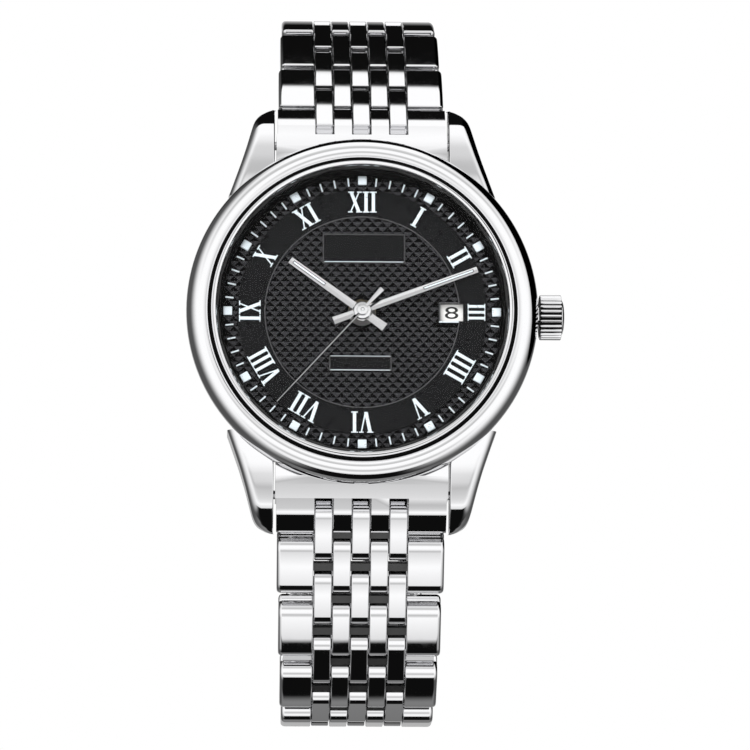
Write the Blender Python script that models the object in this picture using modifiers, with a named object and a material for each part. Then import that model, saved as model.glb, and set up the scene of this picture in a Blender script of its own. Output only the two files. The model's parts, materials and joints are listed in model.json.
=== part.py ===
"""A steel wristwatch on a seven-column bracelet with a folding clasp.

Frame: +X to 3 o'clock (the crown), +Z to 12 o'clock, -Y out of the dial, +Y into the wrist.
The origin is the centre of the case back's flat face, on the axis of the hands.
All sizes below are in millimetres and degrees; the helpers turn them into metres.
"""
import bpy
import bmesh
from math import cos, sin, pi, radians, atan2, hypot
from mathutils import Matrix, Vector

MM = 0.001

# Head, heights measured from the case back's flat face towards the viewer
BACK_THICK = 1.2
CASE_LOW, CASE_HIGH = 1.0, 6.9
CASE_R = 19.3
BEZEL_R = 20.0
BEZEL_LOW = 7.05
DIAL_R = 16.1
DIAL_LOW, DIAL_HIGH = 6.4, 6.8
MOVEMENT_R = 13.0
PLATE_LOW, PLATE_HIGH = 4.9, 5.9
DATE_X, DATE_WIDTH, DATE_HEIGHT = 10.2, 2.6, 2.05

# Lugs and the bracelet's first pins
LUG_INNER = 10.0
LUG_TIP_OUTER = 12.2
LUG_TIP_Z = 24.8
SPRING_BAR_Z, SPRING_BAR_H = 20.4, 2.5
FIRST_PIN_Z, FIRST_PIN_H = 22.8, 2.4

# Bracelet rows
PITCH = 3.9
COLUMN_PITCH = 2.13
COLUMN_HALF = 0.96
OUTER_COLUMN_IN = 5.42
END_R_WIDE, END_R_NARROW = 1.42, 1.3
WIDTH_AT_LUG, WIDTH_AT_CLASP = 19.3, 16.0
PIN_R, BORE_R = 0.55, 0.85
# Slope of the end link behind the dial's plane, then the bend at each pin, lug to clasp
SLOPE_12, SLOPE_6 = 39.0, 28.0
BENDS_12 = (0, 0.5, 2, 4, 8, 13, 19, 22, 20, 17, 14, 10.5, 6.5, 3.5)
BENDS_6 = (0, 0, 1, 4, 9, 12, 15, 21, 23, 21, 18, 13, 7, 5)

# Clasp, heights measured outwards from the line through the bracelet's last pins
PLATE = 0.6
COVER_TOP, MIDDLE_TOP, BASE_TOP = 1.35, 0.45, -0.45
HINGE_R = 0.75
HINGE_INSET = 3.25
COVER_HALF, WALL = 8.2, 1.0
BLADE_HALF = 6.5

# Hands: bearing of each, clockwise from 12, for a time of about 10:11:37
HOUR_BEARING, MINUTE_BEARING, SECOND_BEARING = 305.8, 69.7, 222.4

CROWN_H = 4.3
BALANCE_X, BALANCE_Z, BALANCE_R = -5.8, -6.0, 3.8
BARREL_X, BARREL_Z, BARREL_R = 4.6, 6.4, 4.8


def clear_scene():
    for old in list(bpy.data.objects):
        bpy.data.objects.remove(old, do_unlink=True)


clear_scene()
WATCH = bpy.data.collections.new("wristwatch")
CUTTERS = bpy.data.collections.new("cutters")
bpy.context.scene.collection.children.link(WATCH)
bpy.context.scene.collection.children.link(CUTTERS)


def material(name, color, metallic, roughness):
    made = bpy.data.materials.new(name)
    made.use_nodes = True
    shader = made.node_tree.nodes["Principled BSDF"]
    shader.inputs["Base Color"].default_value = (*color, 1.0)
    shader.inputs["Metallic"].default_value = metallic
    shader.inputs["Roughness"].default_value = roughness
    return made


STEEL = material("polished_steel", (0.78, 0.78, 0.79), 1.0, 0.08)
BRUSHED = material("brushed_steel", (0.62, 0.62, 0.63), 1.0, 0.35)
DIAL_BLACK = material("dial_black", (0.012, 0.012, 0.014), 0.0, 0.35)
WHITE = material("date_white", (0.85, 0.85, 0.83), 0.0, 0.5)
BRASS = material("movement_brass", (0.75, 0.62, 0.35), 1.0, 0.3)
RUBBER = material("gasket_black", (0.02, 0.02, 0.02), 0.0, 0.7)
NYLON = material("holder_plastic", (0.75, 0.75, 0.72), 0.0, 0.5)
SAPPHIRE = material("crystal_clear", (0.9, 0.95, 0.95), 0.0, 0.02)


def new_object(name, mesh, finish, collection=WATCH):
    made = bpy.data.objects.new(name, mesh)
    collection.objects.link(made)
    if finish is not None:
        mesh.materials.append(finish)
    return made


def as_mesh(name, shape):
    mesh = bpy.data.meshes.new(name)
    bmesh.ops.recalc_face_normals(shape, faces=shape.faces)
    shape.to_mesh(mesh)
    shape.free()
    return mesh


def turned(name, profile, steps, finish, collection=WATCH):
    """Turns a profile of (radius, height) about the dial's axis.

    It runs down its outer side; both ends on the axis, or a closed loop for a ring."""
    on_axis = profile[0][0] == 0
    shape = bmesh.new()
    points = [shape.verts.new((r * MM, 0, h * MM)) for r, h in profile]
    for start, end in zip(points, points[1:]):
        shape.edges.new((start, end))
    if not on_axis:
        shape.edges.new((points[-1], points[0]))
    mesh = bpy.data.meshes.new(name)
    shape.to_mesh(mesh)
    shape.free()
    made = new_object(name, mesh, finish, collection)
    screw = made.modifiers.new("turn", "SCREW")
    screw.axis = "Z"
    screw.steps = screw.render_steps = steps
    screw.use_merge_vertices = True
    screw.merge_threshold = 0.00001
    made.rotation_euler = (pi / 2, 0, 0)
    return made


def ring(name, inner, outer, low, high, steps, finish):
    profile = [(inner, high), (outer, high), (outer, low), (inner, low)]
    return turned(name, profile, steps, finish)


def prism_into(shape, outline, low, high, axis):
    """Adds a straight prism: an outline in the two other axes, run from low to high along axis."""
    place = {"X": lambda a, b, c: (c, a, b),
             "Y": lambda a, b, c: (a, c, b),
             "Z": lambda a, b, c: (a, b, c)}[axis]
    base = [shape.verts.new([v * MM for v in place(a, b, low)]) for a, b in outline]
    face = shape.faces.new(base)
    made = bmesh.ops.extrude_face_region(shape, geom=[face])
    top = [item for item in made["geom"] if isinstance(item, bmesh.types.BMVert)]
    move = Vector(place(0, 0, high - low)) * MM
    bmesh.ops.translate(shape, vec=move, verts=top)


def prisms(name, pieces, finish, collection=WATCH):
    """One object of straight prisms, each given as (outline, low, high, axis)."""
    shape = bmesh.new()
    for piece in pieces:
        prism_into(shape, *piece)
    return new_object(name, as_mesh(name, shape), finish, collection)


def arc(cx, cy, r, start, end, steps):
    """Points of an arc, in degrees, both ends included."""
    angles = [radians(start + (end - start) * i / steps) for i in range(steps + 1)]
    return [(cx + r * cos(a), cy + r * sin(a)) for a in angles]


def disc(cx, cy, r, sides, turn=0.0):
    return arc(cx, cy, r, turn, turn + 360.0, sides)[:-1]


def rectangle(a0, b0, a1, b1):
    return [(a0, b0), (a1, b0), (a1, b1), (a0, b1)]


def combine(target, cutter, operation):
    """Adds a Boolean with another object, which is kept only as its cutter."""
    cutter.hide_render = True
    cutter.display_type = "WIRE"
    boolean = target.modifiers.new(operation.lower(), "BOOLEAN")
    boolean.operation = operation
    boolean.solver = "EXACT"
    boolean.object = cutter


def cut(target, pieces, operation="DIFFERENCE"):
    """Cuts, joins or intersects a piece with prisms in its own axes."""
    cutter = prisms(target.name + "_" + operation.lower(), pieces, None, CUTTERS)
    cutter.parent = target
    combine(target, cutter, operation)


def dial_hole(cx, cz, r, low, high, sides=24):
    """A round prism along the dial's axis, in world axes."""
    return (disc(cx, cz, r, sides), -high, -low, "Y")


# ---------------------------------------------------------------- case, dial and crystal

def make_case_middle():
    """A round body with four lugs: its plan shape, met by its side shape, then bored."""
    lug = [(LUG_INNER, 9.0), (16.6, 7.5)]
    lug += [(15.9, 12.0), (14.7, 15.6), (13.5, 18.8), (12.7, 21.8)]
    lug += [(LUG_TIP_OUTER, 24.2), (LUG_TIP_OUTER - 0.7, LUG_TIP_Z), (LUG_INNER, LUG_TIP_Z)]
    made = prisms("case_middle", [(disc(0, 0, CASE_R, 48), -CASE_HIGH, -CASE_LOW, "Y")], STEEL)
    lugs = []
    for sx, sz in ((1, 1), (-1, 1), (-1, -1), (1, -1)):
        lugs.append(([(sx * x, sz * z) for x, z in lug], -CASE_HIGH, -0.2, "Y"))
    cut(made, lugs, "UNION")
    half = [(0.0, CASE_HIGH), (14.5, CASE_HIGH), (18.0, 6.5), (21.5, 5.5), (24.0, 4.3),
            (25.0, 3.4), (25.2, 2.4), (24.8, 1.2), (23.5, 0.5), (20.5, 0.7), (17.5, CASE_LOW)]
    side = [(-h, z) for z, h in half] + [(-h, -z) for z, h in reversed(half[1:])]
    cut(made, [(side, -20, 20, "X")], "INTERSECT")
    cut(made, [dial_hole(0, 0, 15.6, 0, 8, 48)])
    tube_and_bars = [(x_disc(1.6, 16), 14.0, 21.0, "X")]
    for sz in (1, -1):
        bar = disc(-SPRING_BAR_H, sz * SPRING_BAR_Z, 0.75, 10)
        tube_and_bars.append((bar, LUG_INNER - 1, LUG_INNER + 1.3, "X"))
        tube_and_bars.append((bar, -LUG_INNER - 1.3, -LUG_INNER + 1, "X"))
    cut(made, [dial_hole(0, 0, 17.1, 0, 2.4, 48), dial_hole(0, 0, 16.6, 6.2, 8, 48)])
    cut(made, tube_and_bars)


def make_head():
    make_case_middle()
    turned("case_back", [(0, BACK_THICK), (15.0, BACK_THICK), (15.0, 1.7), (16.8, 1.7), (16.8, 0.7),
                         (16.2, 0.5), (13.2, 0.0), (0, 0.0)], 36, STEEL)
    ring("case_back_gasket", 15.9, 16.7, 1.8, 2.3, 36, RUBBER)
    dome = arc(18.0, 7.6, 2.0, 88, 8, 4)
    turned("bezel", [(16.7, 9.65), (17.05, 9.7), (17.35, 9.45), *dome, (BEZEL_R - 0.05, 7.35),
                     (19.7, BEZEL_LOW), (17.0, BEZEL_LOW), (17.0, 9.2), (16.7, 9.3)], 44, STEEL)
    turned("crystal", [(0, 9.95), (15.6, 9.85), (16.25, 9.6), (16.25, 8.95), (0, 8.95)], 48, SAPPHIRE)
    ring("crystal_gasket", 16.4, 16.85, 8.6, 9.15, 28, RUBBER)
    turned("chapter_ring", [(16.1, 8.4), (16.7, 8.4), (16.7, 6.95), (15.95, 6.95)], 36, DIAL_BLACK)
    dial = prisms("dial", [dial_hole(0, 0, DIAL_R, DIAL_LOW, DIAL_HIGH, 48)], DIAL_BLACK)
    window = rectangle(DATE_X - DATE_WIDTH / 2, -DATE_HEIGHT / 2, DATE_X + DATE_WIDTH / 2, DATE_HEIGHT / 2)
    cut(dial, [dial_hole(0, 0, 1.6, 6, 7.5, 16), (window, -7.5, -6.0, "Y")])
    ring("date_disc", 8.2, 12.2, 6.05, 6.25, 36, WHITE)


# ---------------------------------------------------------------- hands

def hand_outline(length, tail, half_root, half_tip):
    return [(-half_root, 0.0), (-half_tip, length), (half_tip, length), (half_root, 0.0),
            (half_tip * 1.25, -tail), (-half_tip * 1.25, -tail)]


def make_hand(name, bearing, length, tail, halves, low, high, hub_r, post):
    """A baton with a round hub, and under the hub a post or sleeve on the same axis."""
    outline = hand_outline(length, tail, *halves)
    made = prisms(name, [(outline, -high, -low, "Y")], STEEL)
    post_r, post_low, hole_r = post
    cut(made, [dial_hole(0, 0, hub_r, low - 0.02, high + 0.08, 20)], "UNION")
    cut(made, [dial_hole(0, 0, post_r, post_low, low + 0.1, 16)], "UNION")
    if hole_r:
        cut(made, [dial_hole(0, 0, hole_r, post_low - 1, high + 1, 16)])
    made.rotation_euler = (0, radians(bearing), 0)


def make_hands():
    make_hand("hour_hand", HOUR_BEARING, 10.1, 3.15, (0.42, 0.36), 7.1, 7.35, 1.5, (1.4, 6.0, 1.05))
    make_hand("minute_hand", MINUTE_BEARING, 13.95, 3.5, (0.38, 0.32), 7.65, 7.9, 1.05, (0.9, 5.2, 0.5))
    make_hand("seconds_hand", SECOND_BEARING, 14.4, 3.3, (0.16, 0.1), 8.2, 8.4, 0.65, (0.3, 5.0, 0))


# ---------------------------------------------------------------- movement and winding

def make_movement():
    plate = prisms("main_plate", [dial_hole(0, 0, MOVEMENT_R, PLATE_LOW, PLATE_HIGH, 40)], BRASS)
    cut(plate, [dial_hole(0, 0, 1.65, 4, 7, 16), dial_hole(BALANCE_X, BALANCE_Z, 0.5, 4, 5.4, 10),
                dial_hole(BARREL_X, BARREL_Z, 0.9, 4, 5.4, 10)])
    holder = ring("movement_ring", 13.2, 15.3, 2.7, 6.1, 32, NYLON)
    slot = prisms("movement_ring_slot", [(disc(-CROWN_H, 0, 0.9, 10), 11, 17, "X")], None, CUTTERS)
    combine(holder, slot, "DIFFERENCE")
    bridge = [(12.4 * cos(radians(a)), 12.4 * sin(radians(a))) for a in range(-20, 201, 20)]
    made = prisms("train_bridge", [(bridge + [(-2.0, -3.4), (2.0, -3.4)], -3.7, -3.1, "Y")], BRUSHED)
    cut(made, [dial_hole(0, 0, 0.5, 1.8, 3.2, 12), (rectangle(-11.5, 1.5, -8.5, 3.5), -4.8, -3.6, "Y"),
               (rectangle(-1.2, 10.2, 1.2, 11.8), -4.8, -3.6, "Y")], "UNION")
    cut(made, [dial_hole(BARREL_X, BARREL_Z, 0.9, 2, 5, 10)])
    barrel = prisms("mainspring_barrel", [dial_hole(0, 0, BARREL_R, 3.85, 4.75, 28)], BRASS)
    cut(barrel, [dial_hole(0, 0, 0.6, 3.3, 5.2, 10)], "UNION")
    barrel.location = (BARREL_X * MM, 0, BARREL_Z * MM)
    make_rotor()
    make_balance()


def make_rotor():
    """A half disc with a thick rim, hanging with its heavy half down, on a hub with a bore."""
    half = arc(0, 0, 12.6, 180, 360, 20)
    rim = arc(0, 0, 12.6, 180, 360, 20) + arc(0, 0, 10.9, 360, 180, 16)
    made = prisms("rotor", [(half, -2.1, -1.5, "Y")], BRUSHED)
    cut(made, [(rim, -2.85, -1.8, "Y"), dial_hole(0, 0, 2.3, 1.5, 2.85, 18)], "UNION")
    cut(made, [dial_hole(0, 0, 0.75, 1.65, 3.5, 12)])


def make_balance():
    wheel = prisms("balance_wheel", [dial_hole(0, 0, BALANCE_R, 4.05, 4.4, 28)], BRASS)
    inner = BALANCE_R - 0.6
    bays = []
    for middle in (90, 270):
        bay = arc(0, 0, inner, middle - 78, middle + 78, 10) + arc(0, 0, 0.9, middle + 50, middle - 50, 3)
        bays.append((bay, -4.8, -3.8, "Y"))
    cut(wheel, bays)
    cut(wheel, [dial_hole(0, 0, 0.3, 3.8, 4.85, 10)], "UNION")
    wheel.location = (BALANCE_X * MM, 0, BALANCE_Z * MM)
    arm = [(-11.6, -5.2), (-9.9, -8.0), (BALANCE_X, BALANCE_Z - 1.0), (BALANCE_X + 1.0, BALANCE_Z),
           (BALANCE_X, BALANCE_Z + 1.0), (-9.9, -4.2)]
    cock = prisms("balance_cock", [(arm, -3.65, -3.1, "Y")], BRUSHED)
    foot = [(-11.5, -5.3), (-10.6, -6.8), (-9.95, -6.0), (-10.3, -4.8)]
    cut(cock, [(foot, -4.8, -3.5, "Y")], "UNION")
    cut(cock, [dial_hole(BALANCE_X, BALANCE_Z, 0.5, 3.4, 4.0, 10)])


def x_disc(r, sides, turn=0.0):
    """A circle round the crown's axis, in the two axes across it."""
    return disc(-CROWN_H, 0, r, sides, turn)


def make_crown():
    ridges = 30
    gear = []
    for i in range(ridges):
        for part, r in ((0.0, 2.42), (0.5, 2.62)):
            a = 2 * pi * (i + part) / ridges
            gear.append((-CROWN_H + r * cos(a), r * sin(a)))
    crown = prisms("crown", [(gear, 20.3, 22.8, "X")], STEEL)
    cut(crown, [(x_disc(2.05, 20), 22.7, 23.2, "X")], "UNION")
    cut(crown, [(x_disc(1.6, 14), 20.0, 21.4, "X")])
    ring_tube = prisms("crown_tube", [(x_disc(1.3, 14), 15.9, 20.9, "X")], STEEL)
    cut(ring_tube, [(x_disc(0.8, 12), 15.0, 22.0, "X")])
    stem = prisms("winding_stem", [(x_disc(0.38, 10), 10.6, 21.1, "X")], BRUSHED)
    cut(stem, [(x_disc(0.5, 10), 11.3, 12.4, "X")], "UNION")
    lever = [(9.2, -1.2), (10.25, -1.2), (10.25, 3.4), (8.2, 3.4), (8.2, 2.4), (9.2, 2.0)]
    prisms("setting_lever", [(lever, -4.75, -4.0, "Y")], BRUSHED)
    for piece in (crown, stem):
        move_origin(piece, Vector((0, -CROWN_H * MM, 0)))


def move_origin(piece, place):
    """Puts a piece's origin on its joint's axis and leaves its shape where it is."""
    piece.data.transform(Matrix.Translation(-place))
    for child in CUTTERS.objects:
        if child.parent == piece:
            child.data.transform(Matrix.Translation(-place))
    piece.location = place


# ---------------------------------------------------------------- end links and bracelet rows

def width_at(row):
    """The bracelet's width at a row, counted from the lug, narrowing evenly to the clasp."""
    return WIDTH_AT_LUG + (WIDTH_AT_CLASP - WIDTH_AT_LUG) * min(row / len(BENDS_12), 1.0)


def wide_columns(width):
    """The blocks of columns 1, 3, 5 and 7, as (low, high) along X."""
    return [(-width / 2, -OUTER_COLUMN_IN),
            (-COLUMN_PITCH - COLUMN_HALF, -COLUMN_PITCH + COLUMN_HALF),
            (COLUMN_PITCH - COLUMN_HALF, COLUMN_PITCH + COLUMN_HALF),
            (OUTER_COLUMN_IN, width / 2)]


def narrow_columns():
    """The blocks of columns 2, 4 and 6."""
    return [(c * COLUMN_PITCH - COLUMN_HALF, c * COLUMN_PITCH + COLUMN_HALF) for c in (-2, 0, 2)]


def stadium(r):
    """A row's side outline, in (Y, Z): round ends about its two pins."""
    near = arc(0, 0, r, 180, 360, 4)
    far = arc(0, PITCH, r, 0, 180, 4)
    return near + far


def make_row(name, columns, end_r, width):
    """Blocks joined by the pin at their far end, bored at the near end for the pin before it."""
    made = prisms(name, [(stadium(end_r), low, high, "X") for low, high in columns], STEEL)
    reach = width / 2 - 1.2
    cut(made, [(disc(0, PITCH, PIN_R, 6, 30), -reach, reach, "X")], "UNION")
    near_reach = width / 2 - 0.9
    cut(made, [(disc(0, 0, BORE_R, 6, 30), -near_reach, near_reach, "X")])
    return made


def walk(slope, bends):
    """The pins of one side as (z, h) from the lug, with the slope of each row."""
    z, h = FIRST_PIN_Z, FIRST_PIN_H
    pins, slopes = [(z, h)], []
    for bend in bends:
        slope += bend
        slopes.append(slope)
        z += PITCH * cos(radians(slope))
        h -= PITCH * sin(radians(slope))
        pins.append((z, h))
    return pins, slopes


def side_empty(name, turn):
    made = bpy.data.objects.new(name, None)
    WATCH.objects.link(made)
    made.rotation_euler = (0, turn, 0)
    return made


def make_side(hour, slope, bends, turn):
    """End link, spring bar and rows of one side; the 6 o'clock side is the same turned half round."""
    holder = side_empty("bracelet_%d" % hour, turn)
    make_end_link(hour, holder)
    pins, slopes = walk(slope, bends)
    for i in range(len(bends)):
        name = "row_%d_%02d" % (hour, i + 1)
        if i % 2 == 0:
            made = make_row(name, narrow_columns(), END_R_NARROW, 2 * (OUTER_COLUMN_IN + 2.4))
        else:
            made = make_row(name, wide_columns(width_at(i)), END_R_WIDE, width_at(i))
        made.parent = holder
        made.location = (0, -pins[i][1] * MM, pins[i][0] * MM)
        made.rotation_euler = (-radians(slopes[i]), 0, 0)
    return pins


def make_end_link(hour, holder):
    """Fills the gap between two lugs, with four fingers that carry the first pin."""
    plan = [(-9.75, 18.2)] + arc(0, 0, 20.5, 118, 62, 8) + [(9.75, 18.2), (9.75, 20.9), (-9.75, 20.9)]
    made = prisms("end_link_%d" % hour, [(plan, -6.0, -0.9, "Y")], STEEL)
    side = [(-6.0, 17.0), (-5.9, 18.6), (-4.9, 20.8), (-3.9, 22.6), (-0.6, 22.6), (-0.6, 17.0)]
    cut(made, [(side, -12, 12, "X")], "INTERSECT")
    finger = arc(-FIRST_PIN_H, FIRST_PIN_Z, END_R_WIDE, 0, 180, 6) + [(-4.0, 20.4), (-1.0, 20.4)]
    cut(made, [(finger, low, high, "X") for low, high in wide_columns(WIDTH_AT_LUG)], "UNION")
    cut(made, [(disc(-FIRST_PIN_H, FIRST_PIN_Z, END_R_NARROW + 0.25, 12), low - 0.09, high + 0.09, "X")
               for low, high in narrow_columns()])
    cut(made, [(disc(-FIRST_PIN_H, FIRST_PIN_Z, PIN_R, 8), -8.4, 8.4, "X")], "UNION")
    cut(made, [(disc(-SPRING_BAR_H, SPRING_BAR_Z, 0.85, 10), -12, 12, "X")])
    made.parent = holder
    bar = prisms("spring_bar_%d" % hour, [(disc(-SPRING_BAR_H, SPRING_BAR_Z, 0.5, 8), -11.0, 11.0, "X")],
                 BRUSHED)
    bar.parent = holder


# ---------------------------------------------------------------- folding clasp

def plate_piece(outwards_top, z0, z1, half):
    """A flat blade, its top at a height outwards from the pins' line."""
    return (rectangle(-outwards_top, z0, -outwards_top + PLATE, z1), -half, half, "X")


def make_clasp(pins_12, pins_6):
    """Base blade on the 12 o'clock rows, middle blade folded on it, and the cover over both."""
    z12, h12 = pins_12[-1]
    z6, h6 = -pins_6[-1][0], pins_6[-1][1]
    length = hypot(z6 - z12, h6 - h12)
    tilt = atan2(-(h6 - h12), z6 - z12)
    holder = side_empty("clasp_axis", 0.0)
    holder.location = (0, -h12 * MM, z12 * MM)
    holder.rotation_euler = (-tilt, 0, 0)
    first, second = HINGE_INSET, length - HINGE_INSET
    h1 = -(COVER_TOP - HINGE_R)
    h2 = -(MIDDLE_TOP - HINGE_R)

    base = prisms("clasp_base_blade", [plate_piece(BASE_TOP, 2.0, second - 1.05, BLADE_HALF)], STEEL)
    eyes = [(disc(0, 0, END_R_NARROW, 12), low, high, "X") for low, high in narrow_columns()]
    stems = [(rectangle(-BASE_TOP, 0.0, -BASE_TOP + PLATE, 2.4), low, high, "X") for low, high in narrow_columns()]
    knuckle = [(disc(h2, second, HINGE_R, 10), -2.4, 2.4, "X"),
               (rectangle(-BASE_TOP, second - 1.5, -BASE_TOP + PLATE, second), -2.4, 2.4, "X")]
    for group in (eyes, stems, knuckle[:1], knuckle[1:]):
        cut(base, group, "UNION")
    cut(base, [(disc(0, 0, BORE_R, 6, 30), -9, 9, "X"), (disc(h2, second, 0.42, 8), -9, 9, "X")])

    middle = prisms("clasp_middle_blade", [plate_piece(MIDDLE_TOP, first + 1.05, second - 1.05, BLADE_HALF)],
                    STEEL)
    lower = [(disc(h2, second, HINGE_R, 10), 2.6, BLADE_HALF, "X"),
             (disc(h2, second, HINGE_R, 10), -BLADE_HALF, -2.6, "X")]
    lower_tabs = [(rectangle(-MIDDLE_TOP, second - 1.5, -MIDDLE_TOP + PLATE, second), 2.6, BLADE_HALF, "X"),
                  (rectangle(-MIDDLE_TOP, second - 1.5, -MIDDLE_TOP + PLATE, second), -BLADE_HALF, -2.6, "X")]
    upper = [(disc(h1, first, HINGE_R, 10), -2.4, 2.4, "X")]
    upper_tab = [(rectangle(-MIDDLE_TOP, first, -MIDDLE_TOP + PLATE, first + 1.5), -2.4, 2.4, "X")]
    for group in (lower, lower_tabs, upper, upper_tab):
        cut(middle, group, "UNION")
    cut(middle, [(disc(h2, second, 0.27, 8), -5.0, 5.0, "X")], "UNION")
    cut(middle, [(disc(h1, first, 0.42, 8), -9, 9, "X")])

    cover_end = second + 0.5
    cover = prisms("clasp_cover", [plate_piece(COVER_TOP, first + 1.05, cover_end, COVER_HALF)], STEEL)
    wall = rectangle(-COVER_TOP, first - 0.65, -BASE_TOP + PLATE, cover_end)
    walls = [(wall, COVER_HALF - WALL, COVER_HALF, "X"), (wall, -COVER_HALF, -COVER_HALF + WALL, "X")]
    ears = [(disc(h1, first, HINGE_R, 10), 2.6, COVER_HALF - 0.5, "X"),
            (disc(h1, first, HINGE_R, 10), -COVER_HALF + 0.5, -2.6, "X")]
    tabs = [(rectangle(-COVER_TOP, first, -COVER_TOP + PLATE, first + 1.5), 2.6, COVER_HALF - 0.5, "X"),
            (rectangle(-COVER_TOP, first, -COVER_TOP + PLATE, first + 1.5), -COVER_HALF + 0.5, -2.6, "X")]
    for group in (walls, ears, tabs):
        cut(cover, group, "UNION")
    cut(cover, [(disc(h1, first, 0.27, 8), -5.0, 5.0, "X")], "UNION")
    button_z = length / 2
    window = rectangle(-0.6, button_z - 2.6, 0.55, button_z + 2.6)
    cut(cover, [(window, COVER_HALF - 2, COVER_HALF + 1, "X"), (window, -COVER_HALF - 1, -COVER_HALF + 2, "X")])
    button = rectangle(-0.35, button_z - 2.3, 0.3, button_z + 2.3)
    left = prisms("clasp_button_left", [(button, -COVER_HALF - 0.55, -COVER_HALF + WALL - 0.1, "X")], STEEL)
    right = prisms("clasp_button_right", [(button, COVER_HALF - WALL + 0.1, COVER_HALF + 0.55, "X")], STEEL)

    base.parent = holder
    for piece, axis_y, axis_z in ((middle, h2, second), (cover, h1, first), (left, 0, 0), (right, 0, 0)):
        piece.parent = holder
        move_origin(piece, Vector((0, axis_y * MM, axis_z * MM)))


def main():
    make_head()
    make_hands()
    make_movement()
    make_crown()
    pins_12 = make_side(12, SLOPE_12, BENDS_12, 0.0)
    pins_6 = make_side(6, SLOPE_6, BENDS_6, pi)
    make_clasp(pins_12, pins_6)
    for piece in WATCH.objects:
        if piece.type == "MESH":
            piece.data.shade_smooth()
            piece.data.set_sharp_from_angle(angle=radians(35))
    bpy.context.view_layer.update()


main()
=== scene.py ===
"""Looks of the steel wristwatch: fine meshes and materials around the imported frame.

Frame: +X to the crown, +Z to 12 o'clock, -Y out of the dial. Heights are measured along -Y
from the case back's flat face. Sizes are in millimetres; the helpers turn them into metres.
"""
import bpy
import bmesh
import json
from math import cos, sin, pi, radians, atan2, sqrt
from mathutils import Matrix, Vector


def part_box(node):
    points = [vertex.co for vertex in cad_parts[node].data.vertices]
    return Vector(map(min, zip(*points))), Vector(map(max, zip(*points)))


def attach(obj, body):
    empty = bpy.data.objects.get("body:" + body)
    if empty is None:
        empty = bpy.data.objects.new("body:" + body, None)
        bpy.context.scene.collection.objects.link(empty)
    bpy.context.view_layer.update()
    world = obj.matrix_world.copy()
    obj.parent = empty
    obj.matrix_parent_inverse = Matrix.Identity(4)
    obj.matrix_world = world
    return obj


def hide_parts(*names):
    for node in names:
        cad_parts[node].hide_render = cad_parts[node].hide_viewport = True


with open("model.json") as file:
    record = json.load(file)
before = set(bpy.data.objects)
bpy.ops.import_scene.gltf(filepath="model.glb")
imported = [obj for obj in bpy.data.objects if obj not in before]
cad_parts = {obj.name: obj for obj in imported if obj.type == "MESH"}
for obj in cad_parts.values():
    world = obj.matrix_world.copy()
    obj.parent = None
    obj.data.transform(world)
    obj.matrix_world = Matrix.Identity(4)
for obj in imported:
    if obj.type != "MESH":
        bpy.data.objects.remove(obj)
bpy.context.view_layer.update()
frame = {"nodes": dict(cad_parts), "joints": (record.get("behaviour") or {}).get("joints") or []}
MM = 0.001
JOINTS = {joint["name"]: joint for joint in frame["joints"]}

# Sizes that the frame fixes, read from it
DIAL_H = -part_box("dial")[0].y / MM
BEZEL_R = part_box("bezel")[1].x / MM
CROWN_LOW, CROWN_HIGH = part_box("crown")
CROWN_START = CROWN_LOW.x / MM
CROWN_H = -(CROWN_LOW.y + CROWN_HIGH.y) / 2 / MM

# How many sides the large and the smaller round pieces have
LARGE_ROUND, ROUND = 160, 128

# Lugs: flat inner face, end along Z, and how far their edges are smoothed
LUG_INNER, LUG_START, LUG_END, LUG_SMOOTHING = 10.0, 13.6, 24.8, 0.45

# Dial: radii of the centre and of the plain ring with the numerals, that ring's height, and the pyramids
CENTRE_R, RING_R = 11.1, 14.2
RING_H = DIAL_H + 0.12
DIAL_R, DIAL_UNDERSIDE, HAND_HOLE_R = 16.08, 6.4, 1.6
PYRAMID, PYRAMID_RISE = 0.825, 0.13
FIELD_R, TRACK_R = CENTRE_R + 0.45, 15.75
NUMERAL_LOW, NUMERAL_LOW_BY_DATE, NUMERAL_HIGH = 11.55, 12.0, 14.0
NUMERAL_STRETCH, NUMERAL_MAX_WIDTH = 0.92, 3.9

# Date window, its frame, and the disc below it
DATE_X, DATE_WIDTH, DATE_HEIGHT = 10.2, 2.6, 2.05
DATE_BAR, DATE_FRAME_RISE, DATE_DISC_H = 0.16, 0.16, 6.27
DAYS, DAY_SHOWN = 31, 8

# Blank plates: their raised edge's width, and the bright lines' heights above the dial
PLATE_BAR, LINE_LOW, LINE_HIGH = 0.14, 0.08, 0.22

# Bracelet: edges and middles of its seven columns, and the end links' half width
OUTER_COLUMN_IN, COLUMN_PITCH, COLUMN_HALF = 5.36, 2.13, 1.0
END_LINK_HALF = 9.65
ROWS = 14


# ---------------------------------------------------------------- mesh helpers

def object_from(name, shape, finish, sharp=35.0):
    mesh = bpy.data.meshes.new(name)
    bmesh.ops.recalc_face_normals(shape, faces=shape.faces)
    shape.to_mesh(mesh)
    shape.free()
    mesh.shade_smooth()
    mesh.set_sharp_from_angle(angle=radians(sharp))
    made = bpy.data.objects.new(name, mesh)
    bpy.context.scene.collection.objects.link(made)
    mesh.materials.append(finish)
    return made


def arc(cx, cy, r, start, end, steps):
    angles = [radians(start + (end - start) * i / steps) for i in range(steps + 1)]
    return [(cx + r * cos(a), cy + r * sin(a)) for a in angles]


def disc(cx, cy, r, sides):
    return arc(cx, cy, r, 0, 360, sides)[:-1]


def rectangle(a0, b0, a1, b1):
    return [(a0, b0), (a1, b0), (a1, b1), (a0, b1)]


def skin(shape, rows):
    """A closed skin through rows of vertices, with a face at both ends."""
    count = len(rows[0])
    for a, b in zip(rows, rows[1:]):
        for i in range(count):
            j = (i + 1) % count
            shape.faces.new((a[i], a[j], b[j], b[i]))
    shape.faces.new(rows[0])
    shape.faces.new(rows[-1][::-1])


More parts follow.
